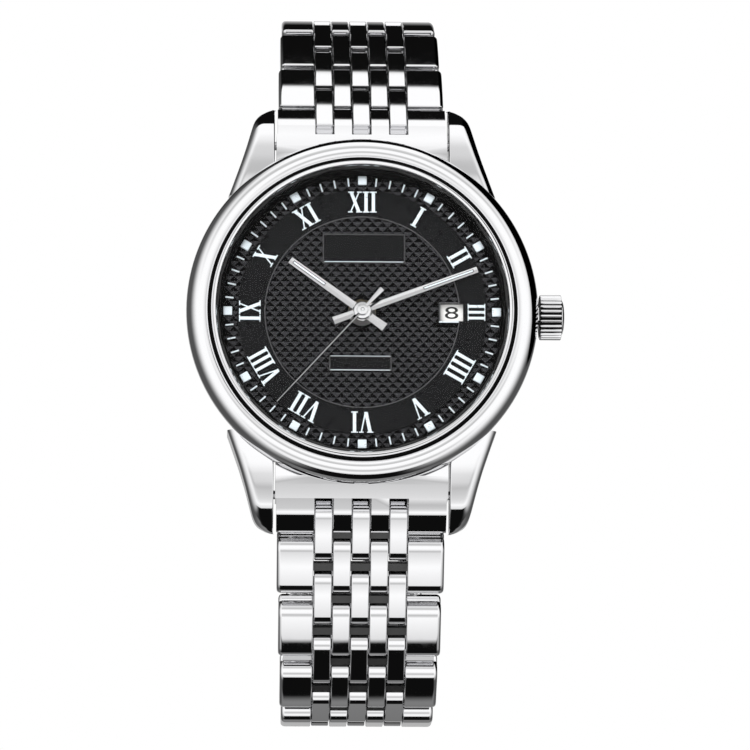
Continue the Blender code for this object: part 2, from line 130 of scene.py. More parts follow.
def prism_into(shape, outline, low, high, axis="Y", move=None):
    """A straight prism. Along Y the outline is (x, z) and low and high are heights towards the
    viewer; along X the outline is (y, z)."""
    move = move or Matrix.Identity(4)
    rows = []
    for level in (low, high):
        points = [(level, a, b) if axis == "X" else (a, -level, b) for a, b in outline]
        rows.append([shape.verts.new(move @ (Vector(p) * MM)) for p in points])
    skin(shape, rows)


def prisms(name, pieces, finish, sharp=35.0):
    shape = bmesh.new()
    for piece in pieces:
        prism_into(shape, *piece)
    return object_from(name, shape, finish, sharp)


def turned(name, profile, steps, finish):
    """A profile of (radius, height) turned about the dial's axis.

    A profile that starts on the axis makes a solid disc; any other makes a ring.
    """
    shape = bmesh.new()
    rows = []
    for r, h in profile:
        circle = disc(0, 0, r, steps) if r > 0 else [(0, 0)]
        rows.append([shape.verts.new(Vector((x, -h, z)) * MM) for x, z in circle])
    pairs = list(zip(rows, rows[1:]))
    if profile[0][0] > 0:
        pairs.append((rows[-1], rows[0]))
    for a, b in pairs:
        for i in range(steps):
            j = (i + 1) % steps
            corners = dict.fromkeys([a[i % len(a)], a[j % len(a)], b[j % len(b)], b[i % len(b)]])
            if len(corners) > 2:
                shape.faces.new(list(corners))
    return object_from(name, shape, finish)


def boolean(target, other, operation="DIFFERENCE", self_join=False):
    """Cuts, joins or keeps what is shared, and uses up the other piece."""
    mod = target.modifiers.new(operation, "BOOLEAN")
    mod.operation = operation
    mod.solver = "EXACT"
    mod.use_self = self_join
    mod.object = other
    apply_modifiers(target)
    bpy.data.objects.remove(other, do_unlink=True)


def apply_modifiers(made, sharp=35.0):
    bpy.context.view_layer.update()
    depsgraph = bpy.context.evaluated_depsgraph_get()
    mesh = bpy.data.meshes.new_from_object(made.evaluated_get(depsgraph))
    made.modifiers.clear()
    made.data = mesh
    mesh.shade_smooth()
    mesh.set_sharp_from_angle(angle=radians(sharp))


def bevelled(made, width, segments=3, angle=30.0, sharp=35.0):
    """Rounds the edges of a piece for good."""
    mod = made.modifiers.new("round", "BEVEL")
    mod.width = width * MM
    mod.segments = segments
    mod.limit_method = "ANGLE"
    mod.angle_limit = radians(angle)
    apply_modifiers(made, sharp)


def join(name, pieces):
    """Several objects as one mesh, with their materials kept."""
    with bpy.context.temp_override(active_object=pieces[0], selected_editable_objects=pieces,
                                   selected_objects=pieces, object=pieces[0]):
        bpy.ops.object.join()
    pieces[0].name = name
    return pieces[0]


def place(made, body, slot, *nodes):
    """Puts a finished piece on its body and hides the nodes that it stands for. Its slot is not used."""
    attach(made, body)
    if nodes:
        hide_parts(*nodes)


# ---------------------------------------------------------------- materials

def shader_of(made):
    return made.node_tree.nodes["Principled BSDF"]


def new_material(name, color, metallic, roughness):
    made = bpy.data.materials.new(name)
    made.use_nodes = True
    shader = shader_of(made)
    shader.inputs["Base Color"].default_value = (*color, 1.0)
    shader.inputs["Metallic"].default_value = metallic
    shader.inputs["Roughness"].default_value = roughness
    return made


def noise_over(made, scale, stretch, detail):
    """Noise over the object's own coordinates."""
    nodes, links = made.node_tree.nodes, made.node_tree.links
    coords = nodes.new("ShaderNodeTexCoord")
    mapping = nodes.new("ShaderNodeMapping")
    mapping.inputs["Scale"].default_value = stretch
    noise = nodes.new("ShaderNodeTexNoise")
    noise.inputs["Scale"].default_value = scale
    noise.inputs["Detail"].default_value = detail
    links.new(coords.outputs["Object"], mapping.inputs["Vector"])
    links.new(mapping.outputs["Vector"], noise.inputs["Vector"])
    return noise.outputs["Fac"]


def noise_roughness(made, low, high, scale, stretch=(1, 1, 1)):
    """Varies the roughness between two values."""
    nodes, links = made.node_tree.nodes, made.node_tree.links
    spread = nodes.new("ShaderNodeMapRange")
    spread.inputs["From Min"].default_value = 0.3
    spread.inputs["From Max"].default_value = 0.7
    spread.inputs["To Min"].default_value = low
    spread.inputs["To Max"].default_value = high
    links.new(noise_over(made, scale, stretch, 4.0), spread.inputs["Value"])
    links.new(spread.outputs["Result"], shader_of(made).inputs["Roughness"])


def noise_bump(made, scale, strength, distance, stretch=(1, 1, 1)):
    nodes, links = made.node_tree.nodes, made.node_tree.links
    bump = nodes.new("ShaderNodeBump")
    bump.inputs["Strength"].default_value = strength
    bump.inputs["Distance"].default_value = distance
    links.new(noise_over(made, scale, stretch, 3.0), bump.inputs["Height"])
    links.new(bump.outputs["Normal"], shader_of(made).inputs["Normal"])


def polished_steel():
    made = new_material("polished_steel", (0.86, 0.86, 0.87), 1.0, 0.05)
    noise_roughness(made, 0.03, 0.075, 900.0)
    noise_bump(made, 500.0, 0.01, 0.00001)
    return made


def brushed_steel():
    made = new_material("brushed_steel", (0.66, 0.66, 0.67), 1.0, 0.3)
    noise_roughness(made, 0.24, 0.4, 1500.0, (1, 1, 0.04))
    noise_bump(made, 2500.0, 0.12, 0.00002, (1, 1, 0.03))
    return made


def dial_lacquer(name, color, roughness, specular):
    made = new_material(name, color, 0.0, roughness)
    shader_of(made).inputs["Specular IOR Level"].default_value = specular
    noise_roughness(made, roughness * 0.85, roughness * 1.2, 1200.0)
    return made


def applied_silver():
    made = new_material("applied_silver", (0.86, 0.95, 1.0), 0.5, 0.3)
    noise_roughness(made, 0.26, 0.36, 2000.0)
    return made


def crystal_glass():
    made = new_material("crystal_glass", (0.03, 0.03, 0.03), 0.0, 0.02)
    shader_of(made).inputs["Alpha"].default_value = 0.04
    noise_roughness(made, 0.01, 0.03, 300.0)
    return made


def plain(name, color, metallic, low, high, scale):
    """A material with a slight grain, its roughness between low and high."""
    made = new_material(name, color, metallic, low)
    noise_roughness(made, low, high, scale)
    noise_bump(made, scale * 2, 0.05, 0.00002)
    return made


STEEL = polished_steel()
BRUSHED = brushed_steel()
DIAL = dial_lacquer("dial_black", (0.0012, 0.0012, 0.0012), 0.5, 0.02)
# The pyramids' lower sides: a lighter grey on the one black lacquer, painted light
PAINTED_LIGHT_FACET = dial_lacquer("dial_facet_painted_light", (0.036, 0.036, 0.039), 0.6, 0.04)
CHARCOAL = dial_lacquer("dial_charcoal", (0.004, 0.0042, 0.0048), 0.3, 0.11)
PLATE_RIM = dial_lacquer("plate_rim", (0.045, 0.045, 0.047), 0.4, 0.3)
EDGE = dial_lacquer("dial_edge", (0.06, 0.06, 0.063), 0.3, 0.5)
# The rehaut's own black; the bezel's groove and the crown's core use it as painted shade
REHAUT_BLACK_AND_SHADE = dial_lacquer("rehaut_black_and_painted_shade", (0.002, 0.002, 0.002), 0.5, 0.04)
# A dark grey for the pins and webs between link blocks: painted shade of the gaps
LINK_PAINTED_SHADE = plain("link_core_painted_shade", (0.09, 0.09, 0.09), 0.9, 0.4, 0.5, 900.0)
SILVER = applied_silver()
GLASS = crystal_glass()
DATE_WHITE = plain("date_white", (0.9, 0.9, 0.88), 0.0, 0.45, 0.6, 900.0)
INK = plain("date_ink", (0.01, 0.01, 0.01), 0.0, 0.5, 0.6, 900.0)
BRASS = plain("movement_brass", (0.75, 0.6, 0.33), 1.0, 0.22, 0.35, 1200.0)
RUBBER = plain("gasket_rubber", (0.02, 0.02, 0.02), 0.0, 0.6, 0.8, 900.0)
NYLON = plain("holder_plastic", (0.72, 0.72, 0.69), 0.0, 0.4, 0.55, 700.0)


# ---------------------------------------------------------------- case, bezel, crystal

# Tables of (z, value) for a lug's outer edge, upper edge and lower edge
LUG_PLAN = [(11.8, 16.0), (13.9, 15.15), (15.9, 14.45), (17.8, 13.8), (19.8, 13.2), (21.7, 12.7),
            (22.8, 12.42), (23.5, 12.15), (24.1, 11.72), (24.5, 11.1), (24.7, 10.6), (24.8, 10.2)]
LUG_TOP = [(13.0, 6.88), (16.0, 6.72), (18.0, 6.42), (20.0, 5.9), (21.5, 5.35), (22.3, 4.95),
           (22.8, 4.5), (24.2, 2.9), (24.7, 2.2), (24.8, 1.9)]
LUG_LOW = [(6.0, 1.2), (17.5, 1.0), (20.5, 0.7), (23.3, 0.5), (24.2, 0.75), (24.6, 1.2), (24.8, 1.7)]


def along_table(table, z):
    """Linear reading of a table of (z, value)."""
    for (z0, a), (z1, b) in zip(table, table[1:]):
        if z <= z1:
            return a + (b - a) * (z - z0) / (z1 - z0)
    return table[-1][1]


def smoothed(table, z, reach):
    """The mean of seven readings within reach of z."""
    places = [z + reach * k / 3 for k in range(-3, 4)]
    return sum(along_table(table, min(LUG_END, p)) for p in places) / len(places)


def make_lug(name, sx, sz):
    """A lug as sections across its length, its outer upper edge rounded wide."""
    shape = bmesh.new()
    rows = []
    levels = [LUG_START + 0.45 * i for i in range(19)] + [21.9 + 0.12 * i for i in range(24)]
    levels += [24.72, 24.78, LUG_END]
    for z in levels:
        reach = LUG_SMOOTHING if z < 24.3 else max(0.02, LUG_END - z)
        out, top, low = (smoothed(t, z, reach) for t in (LUG_PLAN, LUG_TOP, LUG_LOW))
        end = min(1.0, (24.82 - z) / 0.3)
        wide = min(1.25, (top - low) * 0.45, out - LUG_INNER - 0.02) * 0.98
        thin = min(0.16, (top - low) * 0.2, (out - LUG_INNER) * 0.2) * end
        outline = [(LUG_INNER + thin, low + 0.02), (LUG_INNER, low + thin), (LUG_INNER, (low + top) / 2)]
        outline += arc(LUG_INNER + thin, top - thin, thin, 180, 90, 4)
        outline += [(out - wide + x, top + (y - wide) * 0.8) for x, y in arc(0, 0, wide, 90, 0, 12)]
        outline += [(out, (low + top) / 2 - wide * 0.2), (out, low + 0.4), (out - 0.12, low + 0.12),
                    (out - 0.4, low)]
        rows.append([shape.verts.new(Vector((sx * x, -h, sz * z)) * MM) for x, h in outline])
    skin(shape, rows)
    return object_from(name, shape, STEEL, 32)


def make_case():
    """A round body with four lugs; their inner ends run into the body."""
    profile = [(15.6, 2.4), (17.1, 2.4), (17.1, 1.05), (17.3, 1.0), (18.2, 1.0), (18.9, 1.2), (19.2, 1.55),
               (19.3, 2.1), (19.3, 6.5), (19.22, 6.75), (19.0, 6.88), (16.6, 6.9), (16.6, 6.2), (15.6, 6.2)]
    body = turned("case_body", profile, LARGE_ROUND, STEEL)
    place(body, "case", "polished_steel", "case_middle")
    for sx in (1, -1):
        for sz in (1, -1):
            name = "lug_%s_%s" % ("right" if sx > 0 else "left", "top" if sz > 0 else "bottom")
            place(make_lug(name, sx, sz), "case", "polished_steel")


def make_bezel():
    """A thin polished lip, a groove lined with black as painted shade, and a domed ring over the case's edge.
    """
    dome = [(17.42 + 0.98 * i / 12, 9.62 - 0.52 * (1 - i / 12) ** 2) for i in range(12)]
    dome += [(18.4 + 1.6 * x, 7.52 + 2.1 * y) for x, y in arc(0, 0, 1, 90, 0, 20)]
    profile = [(16.5, 9.3), (16.56, 9.52), (16.68, 9.66), (16.84, 9.7), (16.96, 9.65), (17.06, 9.53),
               (17.18, 9.32), (17.3, 9.1), (17.36, 9.02), *dome, (BEZEL_R, 7.4), (BEZEL_R - 0.05, 7.2),
               (BEZEL_R - 0.2, 7.07), (19.6, 7.05), (17.0, 7.05), (17.0, 8.9), (16.5, 9.1)]
    # The groove's steel painted black: painted shade
    painted_groove_shade = turned("bezel_groove_painted_shade", [(17.04, 9.3), (17.1, 9.36), (17.4, 9.24), (17.44, 9.1), (17.04, 9.0)],
                    LARGE_ROUND, REHAUT_BLACK_AND_SHADE)
    place(painted_groove_shade, "case", "polished_steel")
    made = turned("bezel_ring", profile, LARGE_ROUND, STEEL)
    place(made, "case", "polished_steel", "bezel")


def make_crystal():
    made = turned("crystal_disc", [(0, 9.95), (6, 9.94), (12, 9.9), (15.6, 9.84), (16.05, 9.78), (16.25, 9.6),
                                   (16.25, 8.95), (0, 8.95)], ROUND, GLASS)
    place(made, "case", "crystal_glass", "crystal")


def make_rehaut():
    profile = [(16.1, 8.45), (16.45, 8.55), (16.7, 8.5), (16.7, 6.95), (15.98, 6.95)]
    made = turned("rehaut", profile, ROUND, REHAUT_BLACK_AND_SHADE)
    place(made, "case", "dial_black", "chapter_ring")


def make_case_back():
    profile = [(0, 1.2), (15.0, 1.2), (15.0, 1.7), (16.7, 1.7), (16.8, 1.6), (16.8, 0.8), (16.7, 0.66),
               (16.2, 0.5), (14.2, 0.12), (13.9, 0.06), (13.2, 0.0), (0, 0.0)]
    made = turned("case_back_disc", profile, ROUND, STEEL)
    notches = []
    for i in range(6):
        turn = Matrix.Rotation(radians(60 * i), 4, "Y")
        notches.append((rectangle(-1.4, 15.3, 1.4, 17.5), -0.4, 0.95, "Y", turn))
    boolean(made, prisms("notches", notches, STEEL))
    bevelled(made, 0.08, 2, 40, 30)
    place(made, "case", "polished_steel", "case_back")


# ---------------------------------------------------------------- dial

def pyramid_field(name, inside):
    """Square pyramids turned 45 degrees, where inside(x, z) holds for a pyramid's middle.

    Each one's two lower sides take the lighter facet material. This is painted light: the lacquer is one
    black all over.
    """
    shape = bmesh.new()
    corners = {}

    def turned_grid(i, j):
        return PYRAMID * (i - j) / sqrt(2), PYRAMID * (i + j) / sqrt(2)

    def corner(i, j):
        if (i, j) not in corners:
            x, z = turned_grid(i, j)
            corners[(i, j)] = shape.verts.new(Vector((x, -DIAL_H, z)) * MM)
        return corners[(i, j)]

    reach = int(DIAL_R / PYRAMID) + 3
    for i in range(-reach, reach):
        for j in range(-reach, reach):
            x, z = turned_grid(i + 0.5, j + 0.5)
            if not inside(x, z):
                continue
            tip = shape.verts.new(Vector((x, -DIAL_H - PYRAMID_RISE, z)) * MM)
            bottom, right, top, left = corner(i, j), corner(i + 1, j), corner(i + 1, j + 1), corner(i, j + 1)
            for a, b, finish in ((bottom, right, 1), (right, top, 0), (top, left, 0), (left, bottom, 1)):
                shape.faces.new((a, b, tip)).material_index = finish
    made = object_from(name, shape, DIAL, 5.0)
    made.data.materials.append(PAINTED_LIGHT_FACET)
    return made


def cut_window(target):
    """Cuts the date window through a piece of the dial."""
    outline = rectangle(DATE_X - DATE_WIDTH / 2, -DATE_HEIGHT / 2, DATE_X + DATE_WIDTH / 2, DATE_HEIGHT / 2)
    boolean(target, prisms("opening", [(outline, DIAL_UNDERSIDE - 0.4, 7.8)], DIAL))


def make_dial():
    base = prisms("dial_plate", [(disc(0, 0, DIAL_R, ROUND), DIAL_UNDERSIDE, DIAL_H)], DIAL)
    boolean(base, prisms("hole", [(disc(0, 0, HAND_HOLE_R, 32), DIAL_UNDERSIDE - 0.4, 7.5)], DIAL))
    cut_window(base)
    place(base, "case", "dial_black", "dial")

    def in_centre(x, z):
        in_window = abs(x - DATE_X) < DATE_WIDTH / 2 + 0.35 and abs(z) < DATE_HEIGHT / 2 + 0.35
        return HAND_HOLE_R + 0.3 < sqrt(x * x + z * z) < FIELD_R and not in_window

    def in_track(x, z):
        return RING_R - 0.4 < sqrt(x * x + z * z) < TRACK_R

    place(pyramid_field("guilloche_centre", in_centre), "case", "dial_black")
    place(pyramid_field("guilloche_track", in_track), "case", "dial_black")

    foot, shoulder, top = DIAL_H + 0.02, RING_H + 0.05, RING_H + 0.08
    ring = turned("hour_ring", [(CENTRE_R, foot), (CENTRE_R, shoulder), (CENTRE_R + 0.08, top),
                                (RING_R - 0.08, top), (RING_R, shoulder), (RING_R, foot)], ROUND, CHARCOAL)
    cut_window(ring)
    place(ring, "case", "dial_black")
    foot, top = DIAL_H + 0.1, RING_H + 0.1
    edge = turned("hour_ring_edge", [(CENTRE_R - 0.1, foot), (CENTRE_R - 0.05, top), (CENTRE_R + 0.02, top),
                                     (CENTRE_R + 0.04, foot)], ROUND, EDGE)
    cut_window(edge)
    place(edge, "case", "dial_black")
    make_plates()
    make_numerals()
    make_markers()
    make_date()


def framed_plate(name, cx, cz, width, height):
    """A blank plate in a raised thin frame."""
    x0, x1, z0, z1 = cx - width / 2, cx + width / 2, cz - height / 2, cz + height / 2
    low, high, bar = DIAL_H + 0.02, DIAL_H + 0.2, PLATE_BAR
    field = prisms(name + "_field", [(rectangle(x0 + 0.1, z0 + 0.1, x1 - 0.1, z1 - 0.1), low, DIAL_H + 0.12)],
                   CHARCOAL)
    bars = [rectangle(x0, z0, x1, z0 + bar), rectangle(x0, z1 - bar, x1, z1),
            rectangle(x0, z0 + bar, x0 + bar, z1 - bar), rectangle(x1 - bar, z0 + bar, x1, z1 - bar)]
    rim = prisms(name + "_frame", [(outline, low, high) for outline in bars], PLATE_RIM)
    bevelled(rim, 0.03, 2)
    place(join(name, [rim, field]), "case", "dial_black")


def make_plates():
    framed_plate("upper_plate", 0.2, 7.4, 9.4, 3.4)
    framed_plate("lower_plate", -0.2, -5.95, 7.1, 1.7)
    lines = [rectangle(-4.3, 5.78, 4.7, 5.86), rectangle(-3.6, -5.16, 3.2, -5.1),
             rectangle(-3.6, -6.78, 3.2, -6.7)]
    bright = prisms("plate_lines", [(line, DIAL_H + LINE_LOW, DIAL_H + LINE_HIGH) for line in lines], SILVER)
    bevelled(bright, 0.02, 2)
    place(bright, "case", "dial_black")


def glyph(letter):
    """Strokes of a serif Roman capital one unit high, and its width: polygons of (x, y)."""
    serif, thin, thick = 0.055, 0.07, 0.17

    def stem(x, width, foot):
        return [rectangle(x - width / 2, 0.03, x + width / 2, 0.97),
                rectangle(x - foot / 2, 0.0, x + foot / 2, serif),
                rectangle(x - foot / 2, 1 - serif, x + foot / 2, 1.0)]

    def slant(x0, x1, width):
        half = width / 2
        return [[(x0 - half, 0.02), (x0 + half, 0.02), (x1 + half, 0.98), (x1 - half, 0.98)]]

    def foot(x, y, width):
        return [rectangle(x - width / 2, y, x + width / 2, y + serif)]

    if letter == "I":
        return stem(0.17, thick, 0.34), 0.34
    if letter == "V":
        strokes = slant(0.37, 0.15, thick * 1.05) + slant(0.39, 0.6, thin)
        return strokes + foot(0.15, 1 - serif, 0.32) + foot(0.6, 1 - serif, 0.24), 0.74
    strokes = slant(0.56, 0.16, thick * 1.05) + slant(0.14, 0.56, thin)
    strokes += foot(0.16, 1 - serif, 0.3) + foot(0.58, 1 - serif, 0.24)
    return strokes + foot(0.13, 0.0, 0.24) + foot(0.57, 0.0, 0.3), 0.72


def numeral_strokes(text):
    """All strokes of a numeral, and its width."""
    strokes, x = [], 0.0
    for letter in text:
        polygons, width = glyph(letter)
        strokes += [[(px + x, py) for px, py in polygon] for polygon in polygons]
        x += width + 0.03
    return strokes, x - 0.03


def make_numerals():
    names = ["XII", "I", "II", "III", "IIII", "V", "VI", "VII", "VIII", "IX", "X", "XI"]
    for hour, text in enumerate(names):
        low = NUMERAL_LOW_BY_DATE if text == "III" else NUMERAL_LOW
        height = NUMERAL_HIGH - low
        strokes, width = numeral_strokes(text)
        stretch = min(height * NUMERAL_STRETCH, NUMERAL_MAX_WIDTH / width)
        turn = Matrix.Rotation(radians(hour * 30), 4, "Y")
        shape = bmesh.new()
        for k, stroke in enumerate(strokes):
            outline = [((x - width / 2) * stretch, low + y * height) for x, y in stroke]
            prism_into(shape, outline, RING_H, RING_H + 0.24 + 0.0015 * k, "Y", turn)
        made = object_from("numeral_%02d" % (hour or 12), shape, SILVER)
        bevelled(made, 0.035, 2)
        place(made, "case", "polished_steel")


def make_markers():
    squares = bmesh.new()
    bars = bmesh.new()
    foot = DIAL_H + 0.05
    for minute in range(60):
        turn = Matrix.Rotation(radians(minute * 6), 4, "Y")
        if minute % 5 == 0:
            prism_into(squares, rectangle(-0.5, 14.78, 0.5, 15.8), foot, DIAL_H + 0.42, "Y", turn)
        else:
            prism_into(bars, rectangle(-0.09, 14.7, 0.09, 15.65), foot, DIAL_H + 0.22, "Y", turn)
    for name, shape, width, segments in (("hour_squares", squares, 0.08, 2), ("minute_bars", bars, 0.03, 1)):
        made = object_from(name, shape, SILVER)
        bevelled(made, width, segments)
        place(made, "case", "polished_steel")


def day_number(day):
    """One number of the date disc, flat, in its place around the dial's axis."""
    text = bpy.data.curves.new("day", "FONT")
    text.body = str(day)
    text.size = 2.0 * MM
    text.align_x = "CENTER"
    text.align_y = "CENTER"
    text.extrude = 0.006 * MM
    made = bpy.data.objects.new("day", text)
    bpy.context.scene.collection.objects.link(made)
    around = Matrix.Rotation((day - DAY_SHOWN) * 2 * pi / DAYS, 4, "Y")
    shift = Matrix.Translation(Vector((DATE_X, -DATE_DISC_H - 0.01, 0)) * MM)
    upright = Matrix.Rotation(pi / 2, 4, "X")
    widened = Matrix.Diagonal((1.75 if day < 10 else 0.95, 1.0, 1.0, 1.0))
    made.matrix_world = around @ shift @ upright @ widened
    return made


def make_date():
    """The window's frame, its lower bar in bright silver as a painted highlight, and the disc with its
    numbers.
    """
    x0, x1, bar = DATE_X - DATE_WIDTH / 2, DATE_X + DATE_WIDTH / 2, DATE_BAR
    z0, z1 = -DATE_HEIGHT / 2, DATE_HEIGHT / 2
    low, high = DIAL_H, DIAL_H + DATE_FRAME_RISE
    # The lower bar in bright silver, the other bars in grey: painted highlight on the sill
    painted_highlight_sill = prisms("date_sill_painted_highlight", [(rectangle(x0 - bar, z0 - bar, x1 + bar, z0), low, high)], SILVER)
    bevelled(painted_highlight_sill, 0.04, 2)
    bars = [rectangle(x0 - bar, z1, x1 + bar, z1 + bar), rectangle(x0 - bar, z0, x0, z1),
            rectangle(x1, z0, x1 + bar, z1)]
    rim = prisms("date_frame", [(outline, low, high) for outline in bars], EDGE)
    bevelled(rim, 0.04, 2)
    place(join("date_frame", [painted_highlight_sill, rim]), "case", "polished_steel")
    top, underside, inner, outer = DATE_DISC_H, DATE_DISC_H - 0.22, 8.2, 12.2
    profile = [(inner, top), (outer, top), (outer, underside), (inner, underside)]
    made = turned("date_ring", profile, 4 * DAYS, DATE_WHITE)
    place(made, "date_disc", "date_white", "date_disc")
    numbers = [day_number(day) for day in range(1, DAYS + 1)]
    bpy.context.view_layer.update()
    depsgraph = bpy.context.evaluated_depsgraph_get()
    shape = bmesh.new()
    for text in numbers:
        mesh = bpy.data.meshes.new_from_object(text.evaluated_get(depsgraph))
        mesh.transform(text.matrix_world)
        shape.from_mesh(mesh)
        bpy.data.objects.remove(text, do_unlink=True)
    place(object_from("date_numbers", shape, INK), "date_disc", "date_white")


# ---------------------------------------------------------------- hands

def bearing_of(node):
    """A hand's bearing, clockwise from 12, and its length, read from the solid's far tip."""
    flat = [Vector((v.co.x, v.co.z)) for v in frame["nodes"][node].data.vertices]
    reach = max(v.length for v in flat)
    ends = [v for v in flat if v.length > reach - 0.05 * MM]
    tip = sum(ends, Vector((0, 0))) / len(ends)
    return atan2(tip.x, tip.y), tip.length / MM


def make_hand(node, tail, level, rise, hub, hub_rise, inlay=None):
    """A baton with a ridge along it, its hub, and the inlay of its outer half.

    tail is its length behind the axis, and the half widths at its end, the hub and the tip;
    level is its underside's height; inlay is its start, end and half width.
    """
    behind, half_tail, half_root, half_tip = tail
    bearing, length = bearing_of(node)
    turn = Matrix.Rotation(bearing, 4, "Y")
    edge, ridge = level + rise * 0.45, level + rise
    bar = bmesh.new()
    rows = []
    near = hub * 0.5
    for z, half in ((-behind, half_tail), (-near, half_root), (near, half_root), (length, half_tip)):
        section = [(-half, level), (-half, edge), (0, ridge), (half, edge), (half, level)]
        rows.append([bar.verts.new(turn @ (Vector((x, -h, z)) * MM)) for x, h in section])
    skin(bar, rows)
    dome = [(0.22, level + hub_rise * 0.55), (0.22, level + hub_rise), (hub * 0.75, level + hub_rise),
            (hub * 0.93, level + hub_rise * 0.9), (hub, level + hub_rise * 0.65), (hub, level - 0.05),
            (0.22, level - 0.05)]
    pieces = [object_from(node + "_baton", bar, STEEL, 8.0), turned(node + "_hub", dome, 48, STEEL)]
    if inlay:
        start, end, half = inlay
        foot, top = level + rise * 0.5, ridge + 0.012
        line = rectangle(-half * 0.55, start + 0.1, half * 0.55, end - 0.1)
        rim = rectangle(-half, start, half, end)
        pieces.append(prisms(node + "_inlay", [(line, foot, top + 0.01, "Y", turn)], SILVER))
        pieces.append(prisms(node + "_inlay_rim", [(rim, foot, top, "Y", turn)], EDGE))
    place(join(node + "_shape", pieces), node, "polished_steel", node)


def make_hands():
    make_hand("hour_hand", (3.15, 0.49, 0.42, 0.38), 7.16, 0.3, 1.12, 0.34, (5.2, 9.7, 0.18))
    make_hand("minute_hand", (3.5, 0.44, 0.38, 0.34), 7.65, 0.28, 1.02, 0.34, (7.4, 13.5, 0.16))
    make_hand("seconds_hand", (3.3, 0.27, 0.13, 0.1), 8.2, 0.2, 0.66, 0.36)
    cap = turned("hand_cap", [(0, 8.5), (0.15, 8.49), (0.2, 8.45), (0.2, 8.1), (0, 8.1)], 24, STEEL)
    place(cap, "seconds_hand", "polished_steel")


# ---------------------------------------------------------------- crown

def make_crown():
    """A knurled grip with rounded ridges, a black core as painted shade in the gaps between them, and a domed
    cap.
    """
    ridges, length = 26, 2.5
    outline = []
    for i in range(ridges):
        for part, r in ((0.0, 2.2), (0.16, 2.24), (0.3, 2.5), (0.5, 2.62), (0.7, 2.5), (0.84, 2.24)):
            a = 2 * pi * (i + part) / ridges
            outline.append((-CROWN_H + r * cos(a), r * sin(a)))
    end = CROWN_START + length
    grip = prisms("crown_grip", [(outline, CROWN_START + 0.02, end, "X")], STEEL)
    bevelled(grip, 0.12, 2, 50)
    profile = [(0, 23.18), (0.8, 23.16), (1.4, 23.1), (1.8, 23.0), (2.0, 22.88), (2.05, 22.75), (2.05, 22.5),
               (0, 22.5)]
    cap = turned("crown_cap", profile, 64, STEEL)
    onto_axis = Matrix.Translation((0, -CROWN_H * MM, 0)) @ Matrix.Rotation(pi / 2, 4, "Z")
    cap.data.transform(onto_axis)
    # A black cylinder inside the grip, seen between the ridges: painted shade
    painted_shade_core = prisms("crown_core_painted_shade", [(disc(-CROWN_H, 0, 2.34, 60), CROWN_START, end - 0.01, "X")], REHAUT_BLACK_AND_SHADE)
    place(join("crown_shape", [grip, cap, painted_shade_core]), "crown", "polished_steel", "crown")


# ---------------------------------------------------------------- bracelet

def row_axis(name, joint):
    """A row's near pin, the way from there to its far pin, and its half width, from the frame."""
    low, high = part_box(name)
    near = Vector(JOINTS[joint]["pos_m"])
    middle = (low + high) / 2
    along = Vector((0, middle.y - near.y, middle.z - near.z)) * 2
    return near, along, high.x / MM


def block(shape, x0, x1, end_r, pitch, move, outer, lead, round_far):
    """One polished link block: a bowed outer face, squared ends, round inner corners.

    outer is -1 or 1 for the block at the bracelet's left or right edge, which is rounded more there;
    lead is how far the face's near edge reaches past the round end; round_far rounds its far edge too.
    """
    end, corner, bow = end_r - 0.02, 0.12, 0.2

    def side(inset):
        """The outline in the row's plane as (across, along), shrunk by an inset."""
        r = end - inset
        low, high, face = -r - lead, pitch + r, -end_r + inset
        points = [(r * cos(radians(t)), -r * sin(radians(t))) for t in (0, 20, 40, 60, 80, 100, 115)]
        points.append((-0.9, low + 0.06))
        points += arc(face + corner, low + corner, corner, 270, 180, 4)
        run = (pitch if round_far else high - corner) - low - corner
        for t in (0.02, 0.08, 0.2, 0.35, 0.5, 0.65, 0.8, 0.92, 0.98):
            points.append((face - bow * sin(pi * t), low + corner + run * t))
        if round_far:
            points += arc(0, pitch, r, 160, 100, 3)
        else:
            points += arc(face + corner, high - corner, corner, 180, 90, 4)
        return points + arc(0, pitch, r, 80, 0, 4)

    left, right = (0.5 if outer == edge else 0.14 for edge in (-1, 1))
    turns = [radians(t) for t in (0, 20, 40, 60, 80, 90)]
    stations = [(x0 + left * (1 - cos(a)), left * 0.8 * (1 - sin(a))) for a in turns]
    stations += [(x1 - right * (1 - cos(a)), right * 0.8 * (1 - sin(a))) for a in reversed(turns)]
    skin(shape, [[shape.verts.new(move @ (Vector((x, a, b)) * MM)) for a, b in side(inset)]
                 for x, inset in stations])


def columns(numbers, half=COLUMN_HALF):
    """The left and right edges of inner columns, counted from the middle one."""
    return [(c * COLUMN_PITCH - half, c * COLUMN_PITCH + half) for c in numbers]


def wide_columns(half_width):
    """The four columns of a wide row or an end link."""
    return [(-half_width, -OUTER_COLUMN_IN), *columns((-1, 1)), (OUTER_COLUMN_IN, half_width)]


